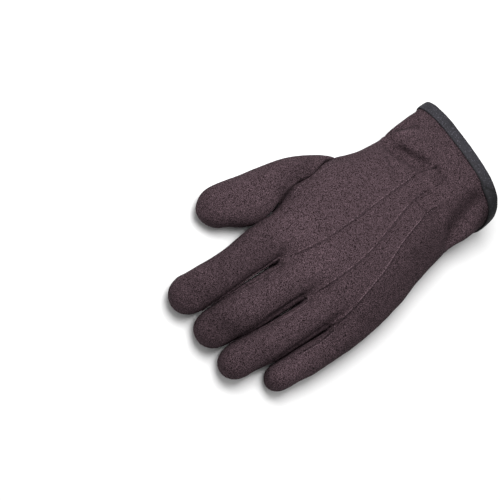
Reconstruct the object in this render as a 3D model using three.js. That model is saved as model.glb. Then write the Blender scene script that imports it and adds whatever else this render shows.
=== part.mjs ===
import * as THREE from "three";

// Cloth work glove for the left hand, lying on its palm and still holding the shape of the hand.
// Millimetres. +Y runs to the fingertips, +X to the thumb, +Z is up through the back of the hand.

// Driving sizes.
const PALM_LENGTH = 165;        // hem to the roots of the fingers
const PALM_WIDTH = 108;         // across the knuckles
const PALM_DEPTH = 41;          // floor to the top of the back
const FINGER_REACH = 79;        // finger root to the tip of the longest finger
const THUMB_REACH = 54;         // thumb crotch to thumb tip
const WALL = 2.1;               // brushed jersey cloth
const SEAM_GAP = 0.36;          // space left between two neighbouring pieces of cloth
const INNER_DRAW = 5.5;         // how many times wider a seam is on the inside than on the outside
const TAPE = 0.9;               // binding tape, one layer
const TAPE_GAP = 0.3;           // space between tape and cloth
const TAPE_WIDTH = 6.2;         // tape showing outside the cuff
const DART_HEIGHT = 1.0;        // stitched ridges on the back
const DART_HALF = 2.3;          // half the width of a ridge, and of the slot between two fingers
const FINGER_GAP = 0.9;         // air between neighbouring fingers
const SIDE_STRIP = 30;          // degrees that a side strip reaches above and below a finger's middle
const FLOOR_PRESS = 1.6;        // how far soft cloth would sink below the floor if it were not flattened

// Grid counts.
const FINGER_COLUMNS = 6;
const FINGER_ROWS = 8;
const TIP_ROWS = 4;
const STRIP_LEVELS = 4;

const table = (names, rows) => {
  const keys = names.split(" ");
  return rows.map((row) => Object.fromEntries(keys.map((key, k) => [key, row[k]])));
};

// Cross-sections of the hand: little-finger side and thumb side, their heights, the crown of the
// back, the roundness of each flank (1 is an ellipse, more is flatter towards a fold).
const HAND = table("y little thumbward zLittle zThumb crownX crownZ flankLittle flankThumb floorX", [
  [0, -35.6, 58.4, 22.0, 15.5, -10, 43.2, 1.00, 1.22, 6],
  [16, -36.4, 57.8, 21.0, 15.0, -8, 42.3, 0.98, 1.20, 6],
  [28, -37.5, 56.8, 20.0, 15.0, -4, 39.5, 0.95, 1.14, 7],
  [40, -37.3, 54.4, 19.0, 15.5, 0, 36.5, 0.95, 1.06, 8],
  [50, -38.0, 54.6, 18.5, 16.0, 2, 37.0, 0.95, 1.04, 8],
  [66, -40.5, 55.6, 18.0, 16.5, 4, 39.0, 0.95, 1.02, 7],
  [82, -44.2, 60.0, 17.5, 17.0, 5, 40.5, 0.94, 1.02, 6],
  [97, -48.9, 62.8, 17.0, 17.5, 6, 41.0, 0.92, 1.00, 5],
  [113, -52.4, 62.6, 16.5, 17.5, 5, 40.0, 0.90, 0.98, 4],
  [127, -54.8, 60.2, 15.5, 17.0, 3, 38.0, 0.88, 0.94, 2],
  [139, -56.0, 52.6, 14.5, 16.0, 1, 35.5, 0.86, 0.90, 0],
  [152, -56.9, 50.0, 13.5, 15.0, 0, 33.0, 0.84, 0.88, -2],
  [165, -57.2, 49.2, 12.5, 14.0, -2, 31.0, 0.82, 0.86, -3],
]);

// Rows of cloth up the hand; the rows from THUMB_FIRST to THUMB_LAST carry the thumb seam.
const ROWS = [0, 10, 17, 23.5, 29.5, 35, 40, 45, 51, 59, 70, 82, 89.5, 97, 104, 111, 118, 125, 132, 139, 146, 153, 159, 165];
const THUMB_FIRST = 11;
const THUMB_LAST = 19;

// How far up (degrees) the thumb seam climbs on the back and how far in (mm) it runs on the palm.
const THUMB_SEAM = table("y climb inward", [
  [82, 0, 0],
  [89.5, 9, 5],
  [97, 17, 11],
  [104, 22, 15.5],
  [111, 24, 17.5],
  [118, 23, 16.5],
  [125, 19, 12.5],
  [132, 11, 6.5],
  [139, 0, 0],
]);

// Where the hem runs round the wrist: degrees from the thumb side over the back, mm up the hand.
const HEM = table("y reach", [
  [-180, 11],
  [-150, 14],
  [-120, 11],
  [-90, 7],
  [-45, 0],
  [-15, -6],
  [0, -7.5],
  [30, -6],
  [60, -2.6],
  [90, -0.3],
  [120, 1.3],
  [150, 4.6],
  [165, 7],
  [180, 11],
]);

// The three stitched ridges on the back, each running up to the slot between two fingers.
const DARTS = table("y indexMiddle middleRing ringLittle", [
  [0, 23, 6.5, -7.5],
  [30, 20.5, 6.2, -6.5],
  [60, 20, 6.5, -7.5],
  [76, 19.2, 3, -11],
  [90, 18.3, -1.2, -15.6],
  [112, 17.2, -6.9, -24.2],
  [134, 16.6, -9.8, -30.6],
  [150, 17.4, -10.6, -34],
  [165, 19.2, -10.7, -36],
]);
const DART_NAMES = ["indexMiddle", "middleRing", "ringLittle"];
const DART_START = 31;

// Fingers: both edges at the root, half-way and where the tip begins, the tip and the heights there.
const FINGERS = table("name root tip dome inRoot outRoot inMid outMid inTip outTip topRoot topMid topTip", [
  ["index", 164, 244.6, 15.5, 19.9, 49.3, 20.1, 46.0, 19.7, 46.8, 31, 27.5, 23.5],
  ["middle", 166, 241.6, 14.5, -10.1, 18.6, -9.9, 18.8, -8.2, 18.4, 31.5, 28, 23.5],
  ["ring", 162, 239.6, 14, -35.4, -11.4, -35.0, -11.2, -33.2, -9.5, 29.5, 26.5, 22.5],
  ["little", 157, 215.8, 11.5, -57.3, -36.7, -57.2, -36.3, -55.4, -36.4, 26.5, 24, 21],
]);

// Thumb rings from the seam outwards: outer and inner end in plan, height of the middle, rise above it.
const THUMB = table("xOut yOut xIn yIn z rise", [
  [66.4, 91.0, 57.4, 139.4, 15.8, 12.0],
  [71.6, 100.5, 54.2, 143.4, 15.0, 12.8],
  [75.6, 111.0, 52.2, 147.8, 14.2, 13.4],
  [78.6, 121.5, 51.0, 152.2, 13.6, 13.6],
  [80.4, 132.0, 50.6, 157.0, 13.2, 13.4],
  [82.0, 142.5, 51.0, 161.8, 12.8, 13.0],
  [83.4, 153.0, 52.4, 166.8, 12.4, 12.6],
  [85.2, 163.0, 55.0, 172.0, 12.0, 12.2],
  [86.6, 172.5, 58.4, 177.4, 11.4, 11.6],
]);
const THUMB_BLEND = [0.45, 0.8, 1];     // share of the ring's own shape, the rest follows the seam
const THUMB_TIP_X = 75.8;
const THUMB_TIP_Y = 192.0;
const THUMB_TIP_ROWS = 4;
const THUMB_TIP_TAPER = 1.3;           // 1 is a round tip, more is a slimmer one

// Folds and dents of the back: a line from one end to the other, how deep, how wide.
const FOLDS = table("x1 y1 x2 y2 depth width", [
  [54, 45, 38, 41, -3.2, 5],
  [38, 41, 24, 33, -3.0, 5],
  [24, 33, 8, 31, -1.6, 5],
  [56, 36, 34, 24, 1.6, 6],
  [-13, 14, -20, 34, -2.6, 5.5],
  [-20, 34, -30, 46, -1.4, 6],
  [-10, 62, -34, 60, 1.2, 9],
  [30, 60, 50, 66, 1.2, 9],
  [34, 118, 44, 132, -1.0, 6],
]);

const BACK_COLOUR = 0x54464b;
const PALM_COLOUR = 0x4a3d42;
const STRIP_COLOUR = 0x463a3f;
const THUMB_COLOUR = 0x50434a;
const TAPE_COLOUR = 0x2f2d31;

// Scales that follow the driving sizes; the tables are drawn at 165, 108, 41 and 79.
const LONG = PALM_LENGTH / 165;
const WIDE = PALM_WIDTH / 108;
const TALL = PALM_DEPTH / 41;
const REACH = FINGER_REACH / 79;
const THUMB_LONG = THUMB_REACH / 54;

const rad = (degrees) => (degrees * Math.PI) / 180;
const lerp = (a, b, s) => a + (b - a) * s;
const clamp = (x, lo, hi) => Math.min(hi, Math.max(lo, x));
const smooth = (s) => {
  const c = clamp(s, 0, 1);
  return c * c * (3 - 2 * c);
};

// Smooth reading of a table column at y.
function read(rows, key, y) {
  const last = rows.length - 1;
  if (y <= rows[0].y) return rows[0][key];
  if (y >= rows[last].y) return rows[last][key];
  let k = 0;
  while (rows[k + 1].y < y) k += 1;
  const slope = (i) => {
    const lo = Math.max(0, i - 1);
    const hi = Math.min(last, i + 1);
    return (rows[hi][key] - rows[lo][key]) / (rows[hi].y - rows[lo].y);
  };
  const step = rows[k + 1].y - rows[k].y;
  const s = (y - rows[k].y) / step;
  const a = (1 + 2 * s) * (1 - s) * (1 - s) * rows[k][key];
  const b = s * (1 - s) * (1 - s) * step * slope(k);
  const c = s * s * (3 - 2 * s) * rows[k + 1][key];
  const d = s * s * (s - 1) * step * slope(k + 1);
  return a + b + c + d;
}

// The floor under the cloth: the cuff stands on its binding, the rest lies flat.
const floorAt = (y) => (TAPE + TAPE_GAP) * (1 - smooth((y - 28) / 12));

// A point of the hand's section; t is 0 at the thumb side, 90 at the crown, 180 at the little side.
function handPoint(y, t) {
  const thumbward = Math.cos(t) >= 0;
  const side = read(HAND, thumbward ? "thumbward" : "little", y);
  const sideZ = read(HAND, thumbward ? "zThumb" : "zLittle", y);
  const flank = read(HAND, thumbward ? "flankThumb" : "flankLittle", y);
  const c = Math.abs(Math.cos(t)) ** flank;
  const s = Math.abs(Math.sin(t)) ** flank;
  if (Math.sin(t) >= 0) {
    const crownX = read(HAND, "crownX", y);
    const x = crownX + (side - crownX) * c;
    const z = sideZ + (read(HAND, "crownZ", y) - sideZ) * s;
    return [x * WIDE, y * LONG, z * TALL];
  }
  const floorX = read(HAND, "floorX", y);
  const x = floorX + (side - floorX) * c;
  const z = sideZ * TALL - (sideZ * TALL + FLOOR_PRESS) * s;
  return [x * WIDE, y * LONG, Math.max(floorAt(y), z)];
}

// The angle at which the hand's section stands over x, on the back or on the palm.
function handAngle(y, x, back) {
  const middle = read(HAND, back ? "crownX" : "floorX", y);
  const thumbward = x >= middle;
  const side = read(HAND, thumbward ? "thumbward" : "little", y);
  const flank = read(HAND, thumbward ? "flankThumb" : "flankLittle", y);
  const share = clamp((x - middle) / (side - middle), 0, 1) ** (1 / flank);
  const angle = thumbward ? Math.acos(share) : Math.PI - Math.acos(share);
  return back ? angle : -angle;
}

// A point of a finger; a, b, h are across, forward and up on a unit dome.
function fingerPoint(finger, y, a, b, h) {
  const s = clamp((y - finger.root) / (finger.tip - finger.dome - finger.root), 0, 1);
  const blend = (root, mid, tip) => (s < 0.5 ? lerp(root, mid, smooth(s * 2)) : lerp(mid, tip, smooth(s * 2 - 1)));
  const inner = blend(finger.inRoot, finger.inMid, finger.inTip);
  const outer = blend(finger.outRoot, finger.outMid, finger.outTip);
  const top = blend(finger.topRoot, finger.topMid, finger.topTip);
  const middle = top * 0.46;
  const trim = (FINGER_GAP - 1.3) / 2;
  const x = (inner + outer) / 2 + a * ((outer - inner) / 2 - trim);
  const reach = y <= finger.root ? y * LONG : finger.root * LONG + (y - finger.root + b * finger.dome) * REACH;
  const z = h >= 0 ? middle * TALL + (top - middle) * TALL * h : middle * TALL + (middle * TALL + FLOOR_PRESS) * h;
  return [x * WIDE, reach, Math.max(0, z)];
}

// How far (degrees) a side strip reaches up and down a finger at row r.
const stripReach = (r) => SIDE_STRIP * (1 - clamp(r / FINGER_ROWS, 0, 1) ** 1.6);

// Start and end angle of a finger's back; the outermost edges have no side strip.
function fingerAngles(f, r) {
  const reach = rad(stripReach(r));
  return [f === 0 ? 0 : reach, f === FINGERS.length - 1 ? Math.PI : Math.PI - reach];
}

const rootAt = (x) => {
  const roots = FINGERS.map((finger) => ({ y: -(finger.inRoot + finger.outRoot) / 2, root: finger.root }));
  return read(roots, "root", -x);
};

// A vertex of the back (side 1) or the palm (side -1) in the hand: row i, finger f, column j.
// Column "slot" is the middle of the ridge between finger f and the next one.
function handVertex(side, i, f, j) {
  const rowY = ROWS[i];
  const up = rowY / ROWS[ROWS.length - 1];
  const back = side > 0;
  const dartX = (g) => read(DARTS, DART_NAMES[g], rowY);
  const climb = rad(read(THUMB_SEAM, "climb", rowY));
  const inward = read(HAND, "thumbward", rowY) - read(THUMB_SEAM, "inward", rowY);
  const palmStart = rowY > 82 && rowY < 139 ? handAngle(rowY, inward, false) : 0;
  const first = back ? (rowY > 82 && rowY < 139 ? climb : 0) : palmStart;
  const edge = (g, step) => {
    if (g < 0) return first;
    if (g > 2) return side * Math.PI;
    return handAngle(rowY, dartX(g) + step * DART_HALF, back);
  };
  const s = j === "slot" ? 0 : j / FINGER_COLUMNS;
  const t = j === "slot" ? handAngle(rowY, dartX(f), back) : lerp(edge(f - 1, -1), edge(f, 1), s);
  const flat = handPoint(rowY, t);
  const lean = read(HEM, "reach", (t * 180) / Math.PI);
  const y = rowY + lean * (1 - up) ** 3 + (rootAt(flat[0] / WIDE) - 165) * up ** 3;
  const spread = handPoint(y, t);
  const share = smooth((rowY - 134) / (165 - 134)) ** 1.4;
  const target = j === "slot" ? slotPoint(side, f, y) : fingerSection(f, 0, y, side, j);
  const point = spread.map((value, k) => lerp(value, target[k], share));
  if (!back) return point;
  return lift(point, j === "slot", rowY);
}

// A point of finger f's section at row r and column j.
function fingerSection(f, r, y, side, j) {
  const [start, end] = fingerAngles(f, r);
  const t = side * lerp(start, end, j / FINGER_COLUMNS);
  return fingerPoint(FINGERS[f], y, Math.cos(t), 0, Math.sin(t));
}

// The bottom of the slot between two fingers.
function slotPoint(side, f, y) {
  const near = fingerSection(f, 0, y, side, FINGER_COLUMNS);
  const far = fingerSection(f + 1, 0, y, side, 0);
  const deep = smooth((y - 150) / 12) * DART_HALF;
  return [(near[0] + far[0]) / 2, (near[1] + far[1]) / 2 - deep, (near[2] + far[2]) / 2];
}

// Ridges and folds of the back.
function lift(point, ridge, rowY) {
  const x = point[0] / WIDE;
  const y = point[1] / LONG;
  const fade = smooth((rowY - DART_START + 3) / 6) * (1 - smooth((rowY - 156) / 9));
  let z = point[2] + (ridge ? DART_HEIGHT * fade : 0);
  for (const fold of FOLDS) {
    const dx = fold.x2 - fold.x1;
    const dy = fold.y2 - fold.y1;
    const s = clamp(((x - fold.x1) * dx + (y - fold.y1) * dy) / (dx * dx + dy * dy), 0, 1);
    const away = Math.hypot(x - fold.x1 - s * dx, y - fold.y1 - s * dy);
    z += fold.depth * Math.exp(-((away / fold.width) ** 2)) * smooth(point[2] / (22 * TALL));
  }
  return [point[0], point[1], z];
}

// The skin: every piece's outer face, sharing its vertices along the seams.
const points = [];
const index = new Map();
const pieces = new Map();

function vertex(key, make) {
  if (!index.has(key)) {
    index.set(key, points.length);
    points.push(make());
  }
  return index.get(key);
}

function face(piece, ...corners) {
  if (!pieces.has(piece)) pieces.set(piece, []);
  pieces.get(piece).push(corners);
}

// Row i counts up the hand, then up finger f: straight rows, then the rounded tip.
const LAST = ROWS.length - 1;
const STRAIGHT = LAST + FINGER_ROWS;
const TOTAL = STRAIGHT + TIP_ROWS;

function skinVertex(side, i, f, j) {
  const outer = f === 0 && j === 0;
  const inner = f === FINGERS.length - 1 && j === FINGER_COLUMNS;
  const onThumb = outer && i > THUMB_FIRST && i < THUMB_LAST;
  const onEdge = j === 0 || j === FINGER_COLUMNS;
  let shared = (outer && !onThumb) || inner || (i >= STRAIGHT && onEdge) || i === TOTAL;
  if (j === "slot") shared = false;
  const key = `${shared ? "seam" : side}:${i}:${f}:${j}`;
  return vertex(key, () => {
    if (i < LAST || j === "slot") return handVertex(side, i, f, j);
    const finger = FINGERS[f];
    const straight = finger.tip - finger.dome - finger.root;
    const r = Math.min(i - LAST, FINGER_ROWS);
    const y = finger.root + (straight * r) / FINGER_ROWS;
    if (i <= STRAIGHT) return fingerSection(f, r, y, side, j);
    const t = (Math.PI * j) / FINGER_COLUMNS;
    const p = (Math.PI / 2) * ((i - STRAIGHT) / TIP_ROWS);
    const a = Math.cos(t) * Math.sqrt(1 - Math.sin(p) ** 2 / 2);
    const b = Math.sin(p) * Math.sqrt(1 - Math.cos(t) ** 2 / 2);
    return fingerPoint(finger, y, a, b, side * Math.sin(t) * Math.cos(p));
  });
}

// Back and palm.
for (const side of [1, -1]) {
  const piece = side > 0 ? "back_panel" : "palm_panel";
  const patch = (a, b, c, d) => (side > 0 ? face(piece, a, b, c, d) : face(piece, a, d, c, b));
  for (let f = 0; f < FINGERS.length; f += 1) {
    for (let i = 0; i < TOTAL; i += 1) {
      for (let j = 0; j < FINGER_COLUMNS; j += 1) {
        const low = [skinVertex(side, i, f, j), skinVertex(side, i, f, j + 1)];
        const high = [skinVertex(side, i + 1, f, j), skinVertex(side, i + 1, f, j + 1)];
        patch(low[0], high[0], high[1], low[1]);
      }
    }
    if (f === FINGERS.length - 1) continue;
    for (let i = 0; i < LAST; i += 1) {
      const near = [skinVertex(side, i, f, FINGER_COLUMNS), skinVertex(side, i + 1, f, FINGER_COLUMNS)];
      const slot = [skinVertex(side, i, f, "slot"), skinVertex(side, i + 1, f, "slot")];
      const far = [skinVertex(side, i, f + 1, 0), skinVertex(side, i + 1, f + 1, 0)];
      patch(near[0], near[1], slot[1], slot[0]);
      patch(slot[0], slot[1], far[1], far[0]);
    }
  }
}

// Side strips: down one finger, round the slot and up the next finger.
function stripVertex(g, step, level) {
  const f = step <= FINGER_ROWS ? g : g + 1;
  const r = step <= FINGER_ROWS ? FINGER_ROWS - step : step - FINGER_ROWS - 2;
  const slot = step === FINGER_ROWS + 1;
  const j = f === g ? FINGER_COLUMNS : 0;
  const i = LAST + r;
  if (level === 0) return slot ? skinVertex(1, LAST, g, "slot") : skinVertex(1, i, f, j);
  if (level === STRIP_LEVELS) return slot ? skinVertex(-1, LAST, g, "slot") : skinVertex(-1, i, f, j);
  return vertex(`strip:${g}:${step}:${level}`, () => {
    const drop = level / STRIP_LEVELS;
    if (slot) {
      const a = points[stripVertex(g, step - 1, level)];
      const b = points[stripVertex(g, step + 1, level)];
      const width = Math.abs(a[0] - b[0]) / 2;
      return [(a[0] + b[0]) / 2, Math.min(a[1], b[1]) - Math.max(width, 0.9), (a[2] + b[2]) / 2];
    }
    const finger = FINGERS[f];
    const reach = rad(stripReach(r)) * (1 - 2 * drop);
    const y = finger.root + ((finger.tip - finger.dome - finger.root) * r) / FINGER_ROWS;
    const across = j === 0 ? Math.cos(reach) : -Math.cos(reach);
    return fingerPoint(finger, y, across, 0, Math.sin(reach));
  });
}

const STRIPS = ["fourchette_index_middle", "fourchette_middle_ring", "fourchette_ring_little"];
STRIPS.forEach((name, g) => {
  const steps = 2 * FINGER_ROWS + 2;
  for (let step = 0; step < steps; step += 1) {
    for (let level = 0; level < STRIP_LEVELS; level += 1) {
      const a = stripVertex(g, step, step === 0 ? 0 : level);
      const b = stripVertex(g, step, step === 0 ? 0 : level + 1);
      const c = stripVertex(g, step + 1, step + 1 === steps ? 0 : level + 1);
      const d = stripVertex(g, step + 1, step + 1 === steps ? 0 : level);
      const corners = [a, b, c, d].filter((v, k, all) => all.indexOf(v) === k);
      face(name, ...corners);
    }
  }
});

// Thumb: rings that fan out from the seam, then a rounded tip.
const SEAM_ROWS = THUMB_LAST - THUMB_FIRST;
const RING = 2 * SEAM_ROWS;

function thumbPoint(j, k) {
  const row = THUMB[j];
  const turn = (2 * Math.PI * k) / RING;
  const c = Math.cos(turn);
  const s = Math.sin(turn);
  const x = (row.xOut + row.xIn) / 2 + ((row.xOut - row.xIn) / 2) * Math.sign(c) * Math.abs(c) ** 0.9;
  const y = (row.yOut + row.yIn) / 2 + ((row.yOut - row.yIn) / 2) * Math.sign(c) * Math.abs(c) ** 0.9;
  const z = row.z * TALL + (s > 0 ? row.rise * TALL : row.z * TALL + FLOOR_PRESS) * Math.sign(s) * Math.abs(s) ** 0.9;
  return place(x, y, z);
}

const place = (x, y, z) => [x * WIDE, 139 * LONG + (y - 139) * (y > 139 ? THUMB_LONG : LONG), Math.max(0, z)];

function thumbVertex(j, k) {
  const turn = (k + RING) % RING;
  if (j === 0) {
    if (turn <= SEAM_ROWS) return skinVertex(1, THUMB_FIRST + turn, 0, 0);
    return skinVertex(-1, THUMB_LAST - (turn - SEAM_ROWS), 0, 0);
  }
  if (j <= THUMB.length) {
    return vertex(`thumb:${j}:${turn}`, () => {
      const share = THUMB_BLEND[Math.min(j, THUMB_BLEND.length) - 1];
      const own = thumbPoint(j - 1, turn);
      return points[thumbVertex(0, turn)].map((value, axis) => lerp(value, own[axis], share));
    });
  }
  return vertex(`thumb:${j}:${turn}`, () => {
    const rim = thumbPoint(THUMB.length - 1, turn);
    const p = ((j - THUMB.length) / THUMB_TIP_ROWS) * (Math.PI / 2);
    const row = THUMB[THUMB.length - 1];
    const root = place((row.xOut + row.xIn) / 2, (row.yOut + row.yIn) / 2, row.z * TALL);
    const tip = place(THUMB_TIP_X, THUMB_TIP_Y, row.z * TALL * 0.9);
    const middle = root.map((value, axis) => lerp(value, tip[axis], Math.sin(p)));
    const girth = Math.cos(p) ** THUMB_TIP_TAPER;
    const point = rim.map((value, axis) => middle[axis] + (value - root[axis]) * girth);
    return [point[0], point[1], Math.max(0, point[2])];
  });
}

const THUMB_ROWS = THUMB.length + THUMB_TIP_ROWS - 1;
for (let k = 0; k < RING; k += 1) {
  for (let j = 0; j < THUMB_ROWS; j += 1) {
    face("thumb", thumbVertex(j, k), thumbVertex(j + 1, k), thumbVertex(j + 1, k + 1), thumbVertex(j, k + 1));
  }
  const pole = vertex("thumb:pole", () => place(THUMB_TIP_X, THUMB_TIP_Y, THUMB[THUMB.length - 1].z * TALL * 0.9));
  face("thumb", thumbVertex(THUMB_ROWS, k), pole, thumbVertex(THUMB_ROWS, k + 1));
}

// Normals of the whole skin, so that two pieces lean the same way at their seam.
const vector = (p) => new THREE.Vector3(p[0], p[1], p[2]);
const normals = points.map(() => new THREE.Vector3());
const turns = points.map(() => 0);
for (const faces of pieces.values()) {
  for (const corners of faces) {
    corners.forEach((v, k) => {
      const here = vector(points[v]);
      const next = vector(points[corners[(k + 1) % corners.length]]).sub(here);
      const last = vector(points[corners[(k + corners.length - 1) % corners.length]]).sub(here);
      const angle = next.angleTo(last);
      const cross = next.clone().cross(last).normalize();
      normals[v].addScaledVector(cross, angle);
      turns[v] += angle;
    });
  }
}

// Cloth is thinner where it is creased sharply: 1 on a smooth face, less on a sharp edge.
const body = normals.map((normal, v) => clamp(1.25 * (normal.length() / turns[v]) - 0.25, 0.3, 1));
normals.forEach((normal) => normal.normalize());

// A closed solid out of triangles.
function solid(name, positions, triangles, colour, roughness) {
  const geometry = new THREE.BufferGeometry();
  geometry.setAttribute("position", new THREE.Float32BufferAttribute(positions.flat(), 3));
  geometry.setIndex(triangles.flat());
  geometry.computeVertexNormals();
  const material = new THREE.MeshStandardMaterial({ color: colour, roughness, metalness: 0 });
  const mesh = new THREE.Mesh(geometry, material);
  mesh.name = name;
  return mesh;
}

// One piece of cloth: its outer face drawn back from the seams, an inner face and the cut edges.
function cloth(name, colour) {
  const faces = pieces.get(name);
  const used = new Map();
  const edges = new Map();
  for (const corners of faces) {
    corners.forEach((v, k) => {
      if (!used.has(v)) used.set(v, used.size);
      const next = corners[(k + 1) % corners.length];
      edges.set(`${v}:${next}`, corners);
    });
  }
  const pull = new Map();
  const rim = [];
  for (const [key, corners] of edges) {
    const [from, to] = key.split(":").map(Number);
    if (edges.has(`${to}:${from}`)) continue;
    rim.push([from, to]);
    const a = vector(points[corners[0]]);
    const b = vector(points[corners[1]]);
    const c = vector(points[corners[2]]);
    const flat = b.clone().sub(a).cross(c.clone().sub(a)).normalize();
    const along = vector(points[to]).sub(vector(points[from])).normalize();
    const out = along.clone().cross(flat).normalize();
    for (const v of [from, to]) {
      if (!pull.has(v)) pull.set(v, []);
      pull.get(v).push(out);
    }
  }
  const outer = [];
  const inner = [];
  for (const v of used.keys()) {
    const here = vector(points[v]);
    const deep = here.clone().addScaledVector(normals[v], -WALL * body[v]);
    const outs = pull.get(v) ?? [];
    if (outs.length > 1) {
      const sum = outs[0].clone().add(outs[1]);
      const reach = SEAM_GAP / 2 / Math.max(0.12, 1 + outs[0].dot(outs[1]));
      here.addScaledVector(sum, -reach);
      deep.addScaledVector(sum, -reach * INNER_DRAW);
    }
    outer.push(here.toArray());
    inner.push(deep.toArray());
  }
  const count = outer.length;
  const triangles = [];
  for (const corners of faces) {
    const ids = corners.map((v) => used.get(v));
    for (let k = 1; k + 1 < ids.length; k += 1) {
      triangles.push([ids[0], ids[k], ids[k + 1]]);
      triangles.push([ids[0] + count, ids[k + 1] + count, ids[k] + count]);
    }
  }
  for (const [from, to] of rim) {
    const a = used.get(from);
    const b = used.get(to);
    triangles.push([b, a, a + count]);
    triangles.push([b, a + count, b + count]);
  }
  return solid(name, outer.concat(inner), triangles, colour, 0.95);
}

// The tape folded over the hem: outside, over the edge, inside and back.
function binding() {
  const ring = [];
  const walk = (side, i) => {
    const row = [];
    for (let f = 0; f < FINGERS.length; f += 1) {
      for (let j = 0; j <= FINGER_COLUMNS; j += 1) row.push(skinVertex(side, i, f, j));
      if (f < FINGERS.length - 1) row.push(skinVertex(side, i, f, "slot"));
    }
    return row;
  };
  const loop = (i) => walk(1, i).concat(walk(-1, i).reverse().slice(1, -1));
  const hem = loop(0);
  const lip = loop(1);
  const count = hem.length;
  for (let k = 0; k < count; k += 1) {
    const edge = vector(points[hem[k]]);
    const deep = vector(points[lip[k]]);
    const down = edge.clone().sub(deep).normalize();
    const hemNormal = normals[hem[k]];
    const lipNormal = normals[lip[k]];
    const at = (base, normal, off, over) => base.clone().addScaledVector(normal, off).addScaledVector(down, over).toArray();
    const skin = TAPE_GAP + TAPE;
    const far = -WALL - TAPE_GAP;
    const wide = 1 - TAPE_WIDTH / 10;
    const lipBase = deep.clone().lerp(edge, wide);
    ring.push([
      at(lipBase, lipNormal, TAPE_GAP, 0),
      at(lipBase, lipNormal, skin, 0),
      at(edge, hemNormal, skin, 0),
      at(edge, hemNormal, TAPE_GAP * 0.5, TAPE + TAPE_GAP),
      at(edge, hemNormal, far + TAPE_GAP * 0.5, TAPE + TAPE_GAP),
      at(edge, hemNormal, far - TAPE, 0),
      at(lipBase, lipNormal, far - TAPE, -0.5),
      at(lipBase, lipNormal, far, -0.5),
      at(edge, hemNormal, far, TAPE_GAP),
      at(edge, hemNormal, TAPE_GAP, TAPE_GAP),
    ]);
  }
  const profile = ring[0].length;
  const triangles = [];
  for (let k = 0; k < count; k += 1) {
    const next = (k + 1) % count;
    for (let p = 0; p < profile; p += 1) {
      const q = (p + 1) % profile;
      triangles.push([k * profile + p, next * profile + q, k * profile + q]);
      triangles.push([k * profile + p, next * profile + p, next * profile + q]);
    }
  }
  return solid("cuff_binding", ring.flat(), triangles, TAPE_COLOUR, 0.8);
}

const glove = new THREE.Group();
glove.name = "work_glove";
glove.add(cloth("back_panel", BACK_COLOUR));
glove.add(cloth("palm_panel", PALM_COLOUR));
glove.add(cloth("thumb", THUMB_COLOUR));
for (const name of STRIPS) glove.add(cloth(name, STRIP_COLOUR));
glove.add(binding());

// The frame's origin: middle of the outline on the floor.
const box = new THREE.Box3().setFromObject(glove);
const shift = box.getCenter(new THREE.Vector3());
for (const mesh of glove.children) mesh.geometry.translate(-shift.x, -shift.y, -box.min.z);

export default glove;
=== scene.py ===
"""Cotton jersey work glove for the left hand, lying on its palm.

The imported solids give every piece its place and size. Each piece of cloth is grown from the
solid it stands for: rounded, sewn down along its seams, folded at the wrist and given its nap.
"""

import math
import random

import bmesh
import bpy
import numpy as np
from bpy.props import FloatProperty, FloatVectorProperty, PointerProperty
from mathutils import Matrix, Vector, noise
from mathutils.bvhtree import BVHTree
from mathutils.kdtree import KDTree


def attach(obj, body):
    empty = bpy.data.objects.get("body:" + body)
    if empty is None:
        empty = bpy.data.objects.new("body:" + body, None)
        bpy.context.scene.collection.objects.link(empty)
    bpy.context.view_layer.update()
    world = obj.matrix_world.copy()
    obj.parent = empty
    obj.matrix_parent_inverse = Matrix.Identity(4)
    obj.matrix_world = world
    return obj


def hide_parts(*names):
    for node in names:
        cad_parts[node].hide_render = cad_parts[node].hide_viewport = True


bl_info = {
    "name": "Cotton work glove",
    "version": (1, 0, 0),
    "blender": (4, 5, 0),
    "location": "3D View > Sidebar > Glove",
    "description": "Jersey work glove with sewn seams, stitched darts and a taped cuff",
    "category": "Object",
}

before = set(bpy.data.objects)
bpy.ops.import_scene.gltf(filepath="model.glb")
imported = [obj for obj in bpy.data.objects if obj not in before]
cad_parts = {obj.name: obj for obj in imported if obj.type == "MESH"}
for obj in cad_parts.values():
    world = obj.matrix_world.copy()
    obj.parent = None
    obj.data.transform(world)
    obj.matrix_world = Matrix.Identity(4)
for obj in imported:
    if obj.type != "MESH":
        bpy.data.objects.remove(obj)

MM = 0.001
OUTSIDE, INSIDE, CUT = 0, 1, 2      # material slots of a piece of cloth
ROUNDING = 2                        # levels of Subdivision Surface
PULLS, PULL_SHARE = 4, 0.9          # how the rounded mesh is brought back onto its cage's points
WELD = 0.005                        # points nearer than this are one, mm
SIDE_ANGLE = math.radians(50)       # a piece's sides meet more sharply than this
QUAD_ANGLE = math.radians(70)       # triangles bent less than this become quads
SHARP_ANGLE = math.radians(60)      # an edge sharper than this is shaded as an edge
FLOOR = 0.0
TINY = 1e-6

# The cloth and its seams, in mm.
WALL = 2.1
SEAM_LAP = 0.35                     # how far two pieces reach into each other at a seam
TIP_START = 88.0                    # where the seams grow faint towards the fingertips
TIP_SLANT = 0.35                    # how much further out that is, per mm towards the thumb
TIP_REACH = 12.0                    # from there to where they are faintest
TIP_FADE = 0.75                     # share of a seam's depth that is lost there
PUCKER_HEIGHT, PUCKER_SIZE, PUCKER_REACH = 0.2, 2.6, 3.0
NAP_SIZE = 1.3                      # width of a tuft of the brushed surface
TAPE_HOLD = 0.8                     # the outside lies still this near the tape
TAPE_EASE = 4.0                     # and moves freely this much further away
# A painted shadow on the cloth along the tape's edge: how much darker it is, and how wide in mm.
TAPE_SHADOW, TAPE_SHADOW_WIDTH = 0.6, 0.7   # the cloth's dark line along the tape

# How far painted shade and painted highlights change the colour, and the bounds of the result.
DARKEN, LIGHTEN = 0.85, 1.4
TONE_LEAST, TONE_MOST = 0.15, 2.2

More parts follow.
